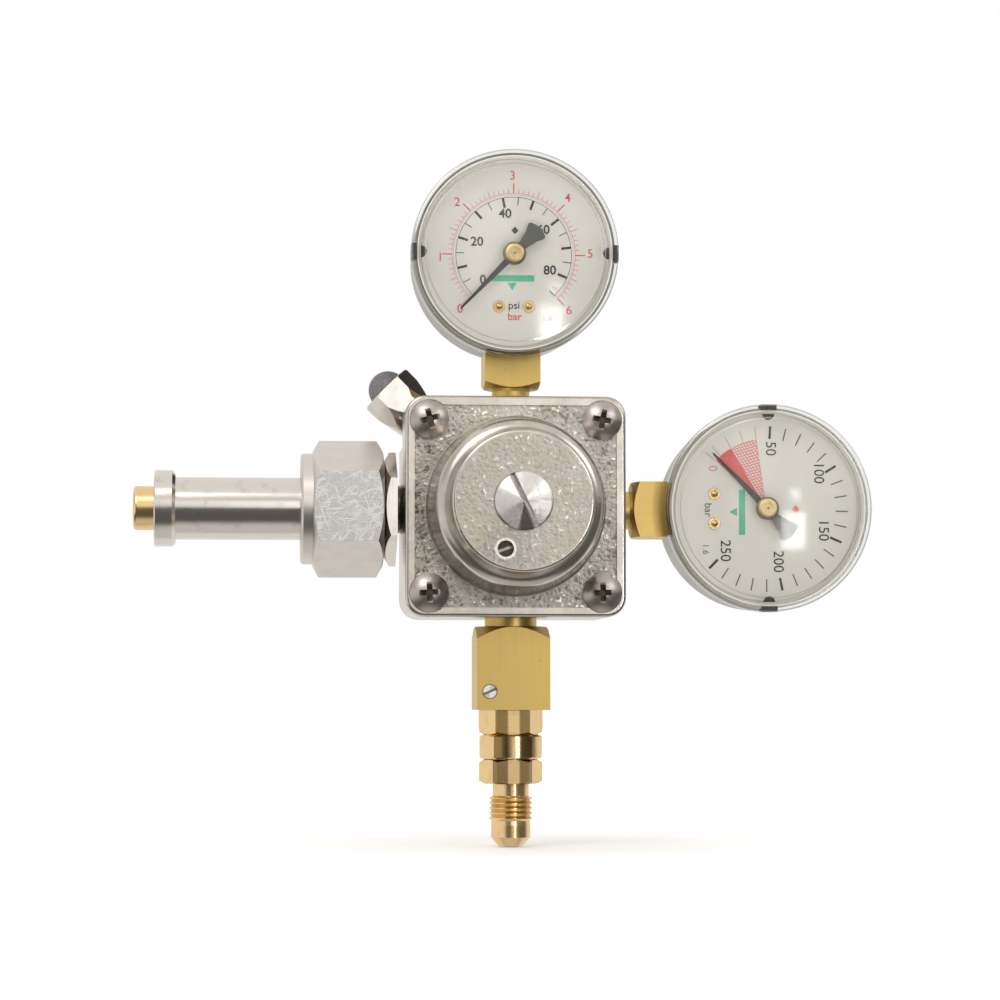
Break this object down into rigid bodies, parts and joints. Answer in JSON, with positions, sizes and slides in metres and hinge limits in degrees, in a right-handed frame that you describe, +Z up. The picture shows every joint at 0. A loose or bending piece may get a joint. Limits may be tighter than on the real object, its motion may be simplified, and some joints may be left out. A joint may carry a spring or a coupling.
{
  "type": "gas pressure reducing valve",
  "caption": "Gas cylinder pressure reducing valve with a diaphragm bonnet, two dial gauges, a union nut inlet, a relief valve and a flared outlet.",
  "frame": {"origin": "centre of the inlet collar's sealing face, at the root of the brass nose that enters the cylinder valve", "axes": "+X along the inlet stem towards the second gauge, +Y from the adjusting screw to the back of the body, +Z up towards the first gauge"},
  "size_m": [0.1855, 0.0564, 0.175],
  "materials": {
    "nickel_plate": "nickel plated casting, grainy faces with smooth borders",
    "nickel_turned": "nickel plated, machined",
    "screw_steel": "zinc plated steel",
    "spring_steel": "drawn wire",
    "brass": "machined brass",
    "sintered_bronze": "porous sintered bronze",
    "case_steel": "drawn steel, satin",
    "clear_plastic": "clear moulded plastic",
    "dial_white": "satin off-white paint",
    "pointer_black": "satin black paint",
    "relief_cap_grey": "matte dark grey",
    "plug_rubber": "black rubber",
    "diaphragm_rubber": "fabric reinforced rubber",
    "seat_plastic": "white seat plastic"
  },
  "bodies": {
    "valve_body": {"body": "nickel_plate", "bonnet": "nickel_plate", "flange_screws": "screw_steel", "seat_nozzle": "brass", "inlet_stem": "nickel_turned", "inlet_nose": "brass", "inlet_filter": "sintered_bronze", "lock_nut": "nickel_turned", "relief_body": "nickel_turned", "relief_cap": "relief_cap_grey", "relief_spring": "spring_steel", "outlet_block": "brass", "block_screw": "screw_steel", "check_valve_body": "brass", "check_spring": "spring_steel", "flare_outlet": "brass", "diaphragm": "diaphragm_rubber", "poppet_spring": "spring_steel", "outlet_gauge_case": "case_steel", "outlet_gauge_blowout_plug": "plug_rubber", "outlet_gauge_lens": "clear_plastic", "outlet_gauge_dial": "dial_white", "outlet_gauge_dial_screws": "brass", "outlet_gauge_socket": "brass", "outlet_gauge_bourdon_tube": "brass", "outlet_gauge_movement_frame": "brass", "cylinder_gauge_case": "case_steel", "cylinder_gauge_blowout_plug": "plug_rubber", "cylinder_gauge_lens": "clear_plastic", "cylinder_gauge_dial": "dial_white", "cylinder_gauge_dial_screws": "brass", "cylinder_gauge_socket": "brass", "cylinder_gauge_bourdon_tube": "brass", "cylinder_gauge_movement_frame": "brass"},
    "slip_washer": {"slip_washer": "nickel_turned"},
    "union_nut": {"union_nut": "nickel_turned"},
    "spring_button": {"spring_button": "spring_steel", "main_spring": "spring_steel"},
    "adjusting_screw": {"adjusting_screw": "nickel_turned"},
    "vent_screw": {"vent_screw": "brass"},
    "diaphragm_plate": {"diaphragm_plate": "nickel_turned"},
    "valve_poppet": {"valve_poppet": "brass", "seat_disc": "seat_plastic"},
    "relief_poppet": {"relief_poppet": "brass"},
    "check_ball": {"check_ball": "spring_steel"},
    "outlet_pointer": {"outlet_gauge_pointer_arbor": "brass", "outlet_gauge_pointer": "pointer_black", "outlet_gauge_pointer_hub": "brass"},
    "outlet_sector": {"outlet_gauge_sector_gear": "brass"},
    "outlet_link": {"outlet_gauge_link": "brass"},
    "cylinder_pointer": {"cylinder_gauge_pointer_arbor": "brass", "cylinder_gauge_pointer": "pointer_black", "cylinder_gauge_pointer_hub": "brass"},
    "cylinder_sector": {"cylinder_gauge_sector_gear": "brass"},
    "cylinder_link": {"cylinder_gauge_link": "brass"}
  },
  "joints": [
    {"name": "nut_slide", "type": "slide", "parent": "valve_body", "child": "slip_washer", "axis": [-1, 0, 0], "range_m": [0, 0.045]},
    {"name": "nut_spin", "type": "hinge", "parent": "slip_washer", "child": "union_nut", "pos_m": [0.047, 0, 0], "axis": [1, 0, 0], "continuous": true},
    {"name": "button_travel", "type": "slide", "parent": "valve_body", "child": "spring_button", "axis": [0, 1, 0], "range_m": [-0.0015, 0.0045], "deforming": ["main_spring"]},
    {"name": "screw_turn", "type": "hinge", "parent": "spring_button", "child": "adjusting_screw", "pos_m": [0.09, -0.035, 0], "axis": [0, 1, 0], "range_deg": [-370, 1090]},
    {"name": "vent_screw_turn", "type": "hinge", "parent": "valve_body", "child": "vent_screw", "pos_m": [0.0856, -0.0355, -0.0117], "axis": [0, 1, 0], "range_deg": [-720, 0]},
    {"name": "diaphragm_travel", "type": "slide", "parent": "valve_body", "child": "diaphragm_plate", "axis": [0, 1, 0], "range_m": [0, 0.001], "stiffness_N_per_m": 4000, "deforming": ["diaphragm"]},
    {"name": "poppet_travel", "type": "slide", "parent": "valve_body", "child": "valve_poppet", "axis": [0, 1, 0], "range_m": [0, 0.001], "deforming": ["poppet_spring"]},
    {"name": "relief_lift", "type": "slide", "parent": "valve_body", "child": "relief_poppet", "axis": [-0.7071, 0, 0.7071], "range_m": [0, 0.0015], "stiffness_N_per_m": 3000, "deforming": ["relief_spring"]},
    {"name": "check_ball_lift", "type": "slide", "parent": "valve_body", "child": "check_ball", "axis": [0, 0, -1], "range_m": [0, 0.001], "stiffness_N_per_m": 300, "deforming": ["check_spring"]},
    {"name": "outlet_pointer_turn", "type": "hinge", "parent": "valve_body", "child": "outlet_pointer", "pos_m": [0.09, 0, 0.064], "axis": [0, 1, 0], "range_deg": [0, 270], "stiffness_Nm_per_rad": 0.004, "deforming": ["outlet_gauge_bourdon_tube"]},
    {"name": "outlet_sector_swing", "type": "hinge", "parent": "valve_body", "child": "outlet_sector", "pos_m": [0.10032, 0, 0.05677], "axis": [0, 1, 0], "range_deg": [-46, 0.5]},
    {"name": "outlet_link_swing", "type": "hinge", "parent": "outlet_sector", "child": "outlet_link", "pos_m": [0.1036, 0, 0.05448], "axis": [0, 1, 0], "range_deg": [-0.5, 46]},
    {"name": "cylinder_pointer_turn", "type": "hinge", "parent": "valve_body", "child": "cylinder_pointer", "pos_m": [0.154, 0, 0], "axis": [0, 1, 0], "range_deg": [0, 270], "stiffness_Nm_per_rad": 0.004, "deforming": ["cylinder_gauge_bourdon_tube"]},
    {"name": "cylinder_sector_swing", "type": "hinge", "parent": "valve_body", "child": "cylinder_sector", "pos_m": [0.14677, 0, -0.01032], "axis": [0, 1, 0], "range_deg": [-46, 0.5]},
    {"name": "cylinder_link_swing", "type": "hinge", "parent": "cylinder_sector", "child": "cylinder_link", "pos_m": [0.14448, 0, -0.0136], "axis": [0, 1, 0], "range_deg": [-0.5, 46]}
  ],
  "couplings": [
    {"joint": "screw_turn", "follows": "button_travel", "rad_per_m": 4188.8},
    {"joint": "poppet_travel", "follows": "diaphragm_travel", "ratio": 1},
    {"joint": "outlet_sector_swing", "follows": "outlet_pointer_turn", "ratio": -0.16667},
    {"joint": "outlet_link_swing", "follows": "outlet_pointer_turn", "ratio": 0.16667},
    {"joint": "cylinder_sector_swing", "follows": "cylinder_pointer_turn", "ratio": -0.16667},
    {"joint": "cylinder_link_swing", "follows": "cylinder_pointer_turn", "ratio": 0.16667}
  ]
}
